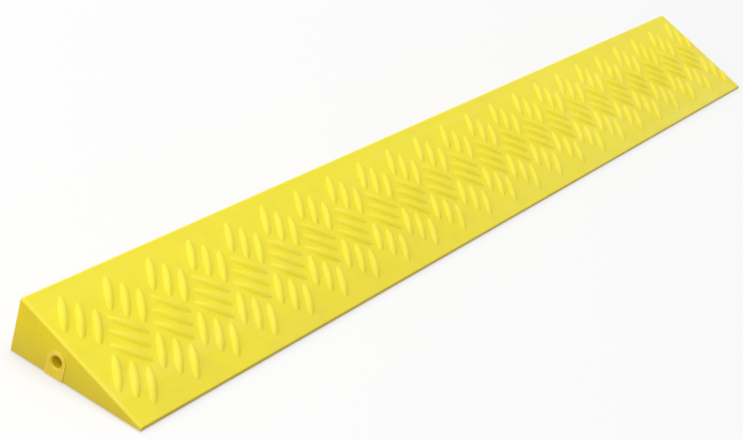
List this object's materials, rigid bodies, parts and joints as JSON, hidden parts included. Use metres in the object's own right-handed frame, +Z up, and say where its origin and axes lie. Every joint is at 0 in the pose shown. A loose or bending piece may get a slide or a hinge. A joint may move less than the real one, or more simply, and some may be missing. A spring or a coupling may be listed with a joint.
{
  "type": "threshold ramp",
  "caption": "Long wedge-shaped threshold ramp of moulded plastic with a raised bar tread, ribbed hollow underside, rubber feet and end sockets with a sliding joining pin.",
  "frame": {"origin": "on the floor, under the middle of the shell's length and depth", "axes": "+X along the length towards the end that holds the joining pin, +Y from the toe to the upright back, +Z up"},
  "size_m": [1.0104, 0.106, 0.0392],
  "materials": {
    "shell_plastic": "satin moulded yellow plastic, fine spark grain, slightly worn edges",
    "socket_plastic": "smooth moulded plastic, a little more orange than the shell",
    "pin_steel": "zinc-plated, fine turning lines",
    "screw_steel": "zinc-plated",
    "foot_rubber": "matt black rubber"
  },
  "bodies": {
    "ramp": {"ramp_shell": "shell_plastic", "pin_socket_left": "socket_plastic", "pin_socket_right": "socket_plastic", "socket_screw_left_front": "screw_steel", "socket_screw_left_back": "screw_steel", "socket_screw_right_front": "screw_steel", "socket_screw_right_back": "screw_steel", "grip_foot_front_1": "foot_rubber", "grip_foot_front_2": "foot_rubber", "grip_foot_front_3": "foot_rubber", "grip_foot_front_4": "foot_rubber", "grip_foot_front_5": "foot_rubber", "grip_foot_front_6": "foot_rubber", "grip_foot_back_1": "foot_rubber", "grip_foot_back_2": "foot_rubber", "grip_foot_back_3": "foot_rubber", "grip_foot_back_4": "foot_rubber", "grip_foot_back_5": "foot_rubber", "grip_foot_back_6": "foot_rubber"},
    "pin": {"joining_pin": "pin_steel"}
  },
  "joints": [
    {"name": "joining_pin_slide", "type": "slide", "parent": "ramp", "child": "pin", "axis": [1, 0, 0], "range_m": [0, 0.032]}
  ]
}
